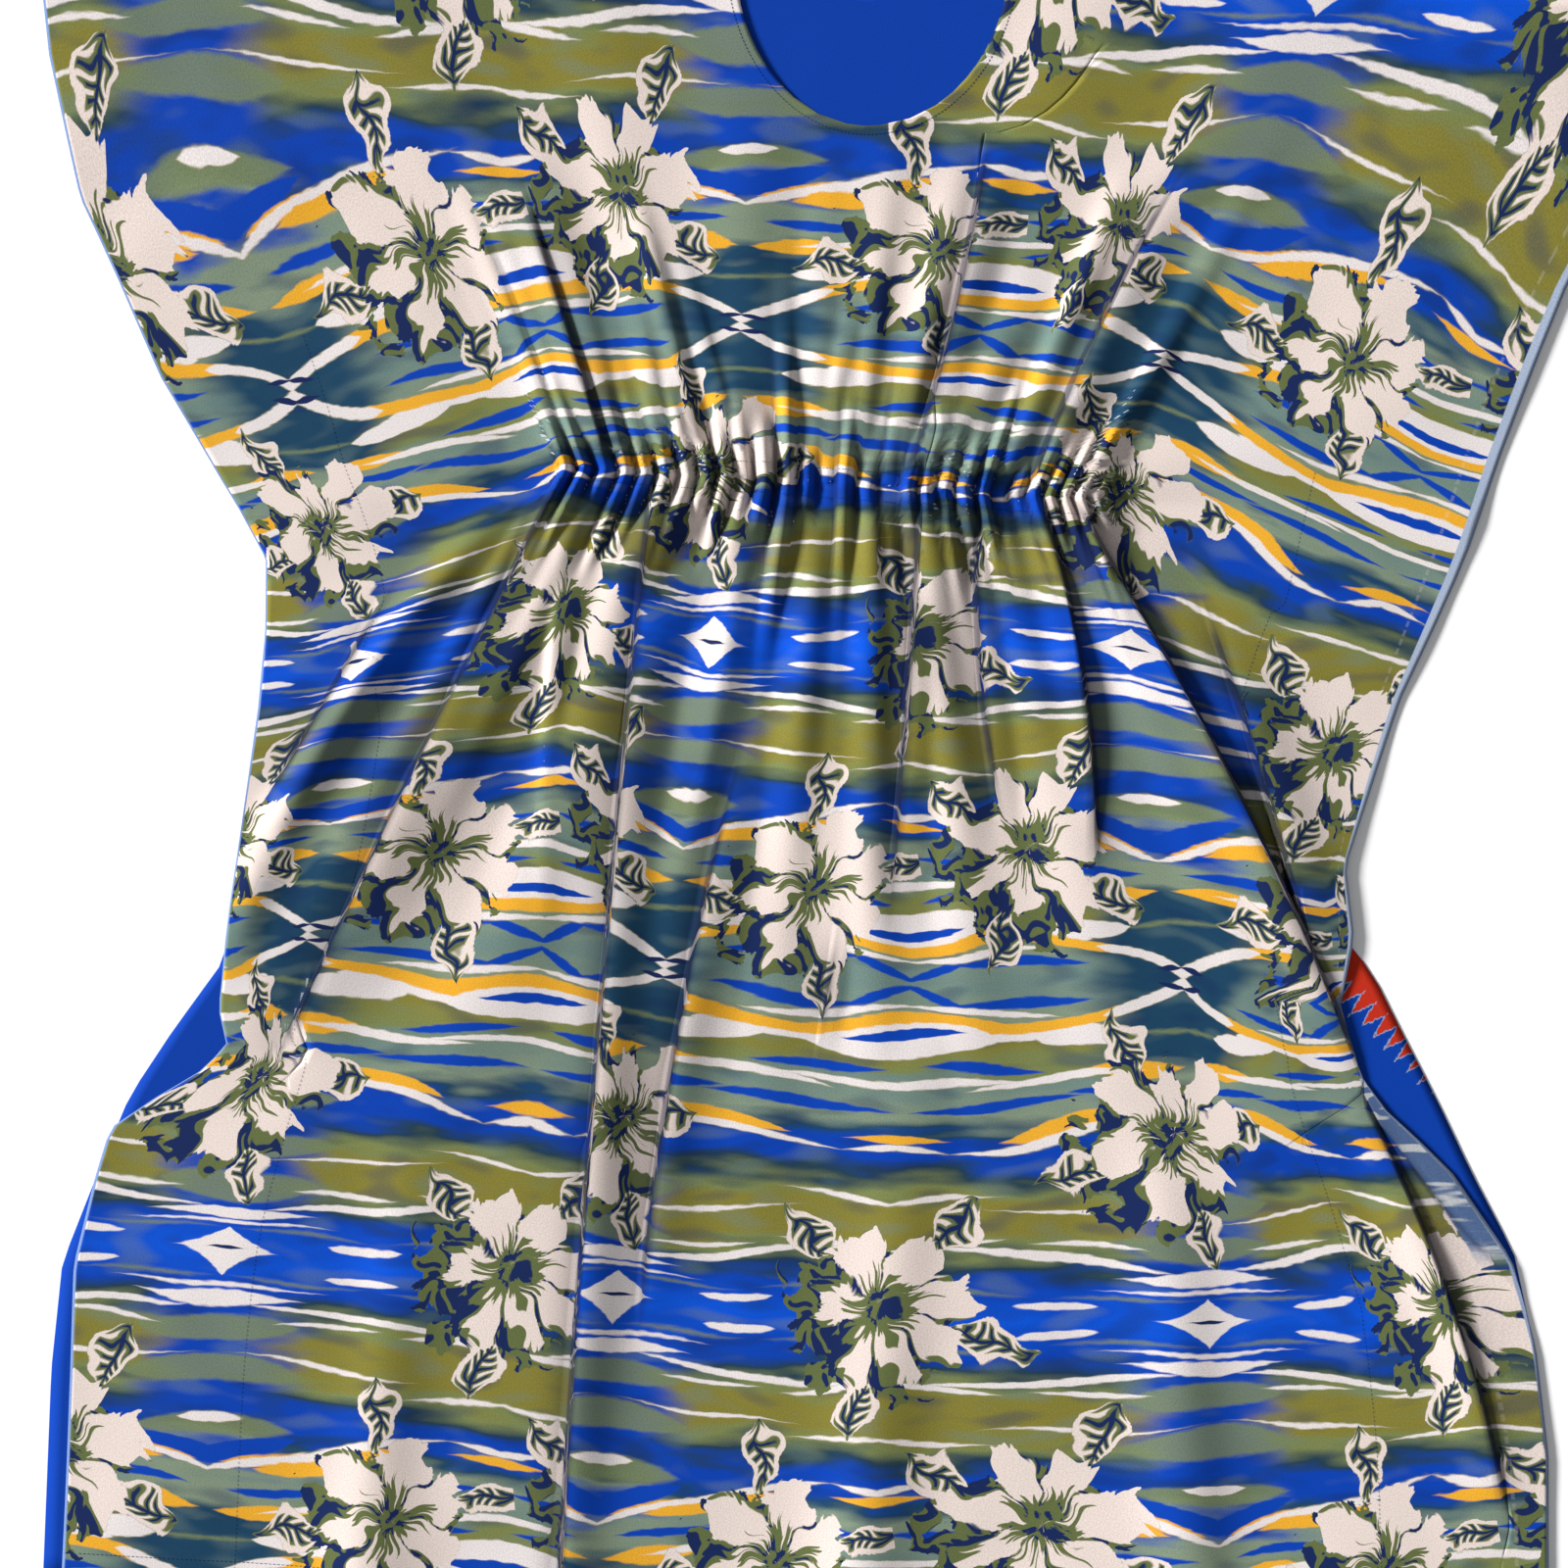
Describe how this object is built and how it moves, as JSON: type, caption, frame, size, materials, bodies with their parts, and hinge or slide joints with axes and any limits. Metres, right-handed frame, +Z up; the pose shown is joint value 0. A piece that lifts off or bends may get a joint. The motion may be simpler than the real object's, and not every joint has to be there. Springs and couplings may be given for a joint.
{
  "type": "muumuu dress",
  "caption": "Long loose dress with wing sleeves and an elastic-gathered waist, laid out flat and face up; front and back panels lie one on the other.",
  "frame": {"origin": "middle of the bounding box's base, on the surface that the dress lies on", "axes": "+Z up from the surface towards the dress's face, +Y from the hem to the shoulders, +X to the right as seen from above"},
  "size_m": [1.372, 1.36, 0.0174],
  "materials": {
    "front_panel": "printed plain-weave cloth, blue, olive, marigold and white",
    "back_panel": "plain-weave cloth, royal blue with a red band",
    "waist_elastic": "white woven elastic"
  },
  "bodies": {
    "root": {"front_panel": "front_panel", "back_panel": "back_panel", "waist_elastic": "waist_elastic"}
  },
  "joints": []
}
